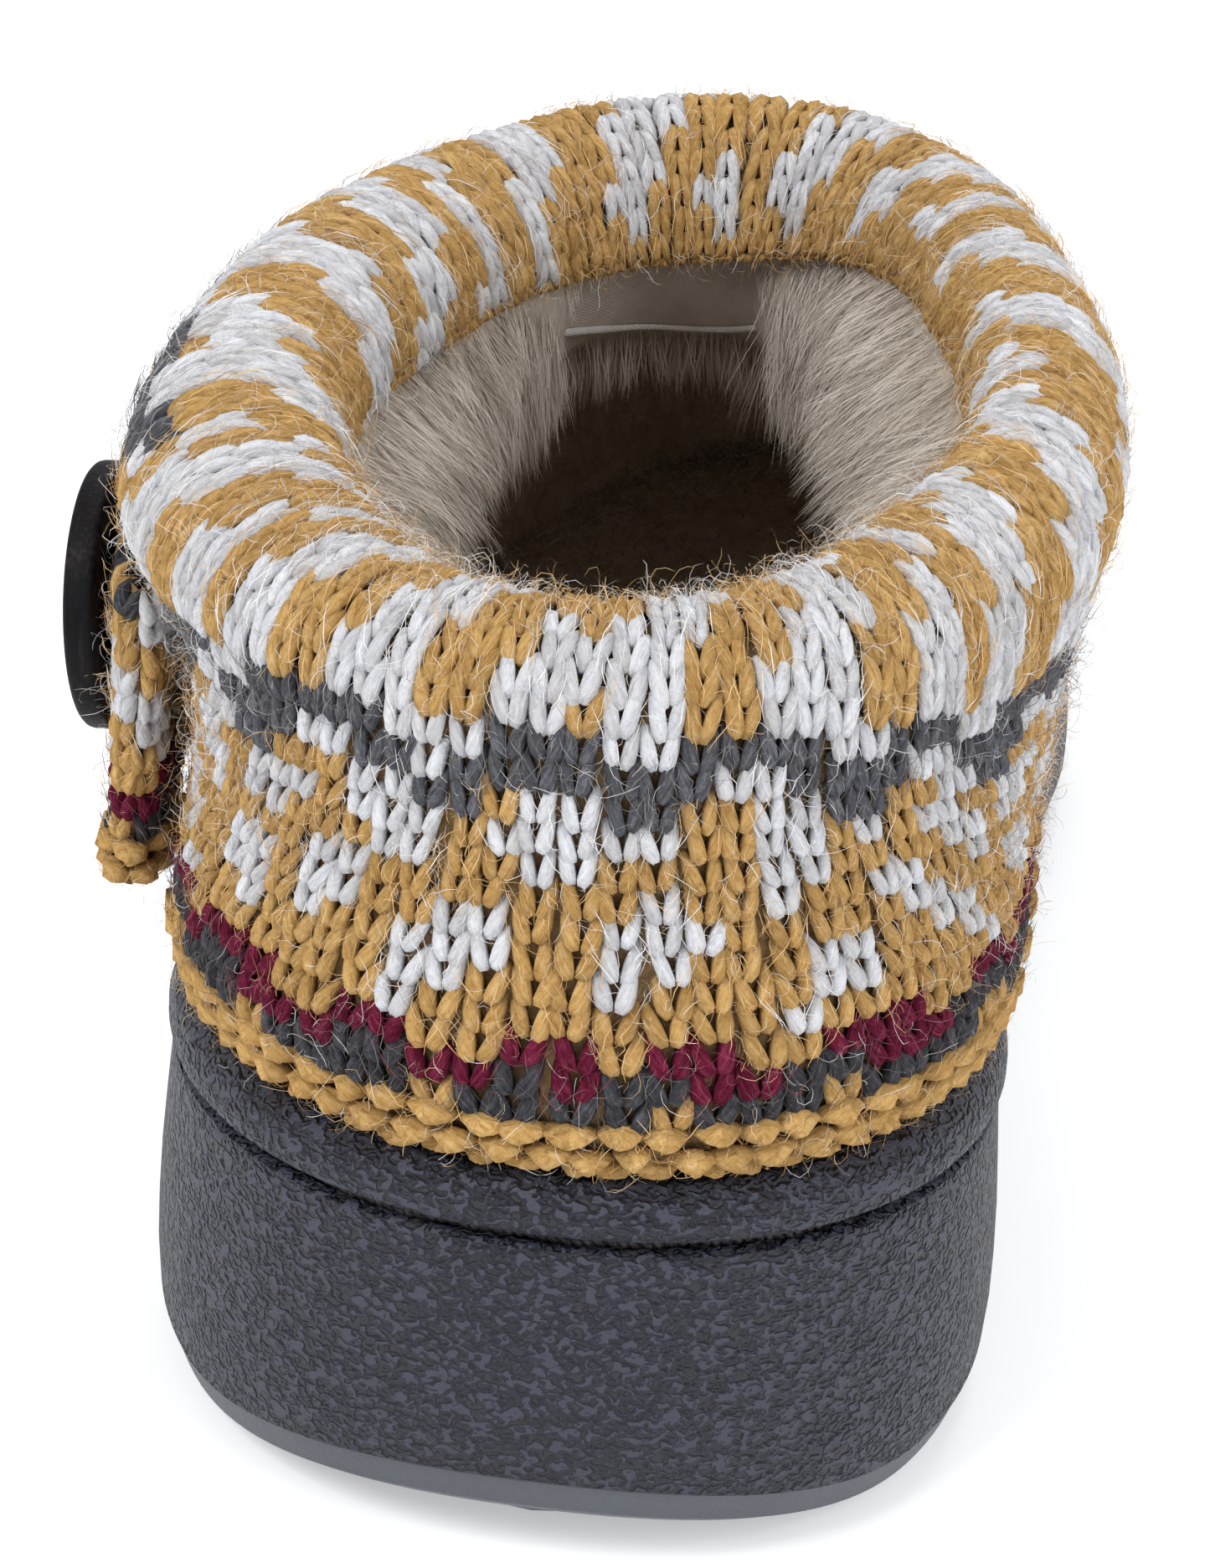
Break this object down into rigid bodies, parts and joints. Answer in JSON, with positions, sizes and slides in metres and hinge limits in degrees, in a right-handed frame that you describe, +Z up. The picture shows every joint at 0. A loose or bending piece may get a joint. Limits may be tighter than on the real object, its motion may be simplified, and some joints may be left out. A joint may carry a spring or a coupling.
{
  "type": "clog slipper",
  "caption": "Left clog slipper with a moulded cup sole, a suede upper and a thick folded knit cuff closed by a buttoned flap.",
  "frame": {"origin": "on the floor under the middle of the heel", "axes": "+Y runs from heel to toe, +Z is up, +X is the wearer's right, which is the inner side of this left shoe"},
  "size_m": [0.0989, 0.2558, 0.1056],
  "materials": {
    "outsole": "pebbled matt charcoal",
    "insole": "cream pile",
    "upper": "charcoal suede",
    "pile_collar": "long cream pile",
    "knit_cuff": "mustard, white, grey and burgundy wool knit",
    "cuff_flap": "mustard and white wool knit",
    "button": "dark polished grain"
  },
  "bodies": {
    "root": {"outsole": "outsole", "insole": "insole", "upper": "upper", "pile_collar": "pile_collar", "knit_cuff": "knit_cuff", "cuff_flap": "cuff_flap", "button": "button"}
  },
  "joints": []
}
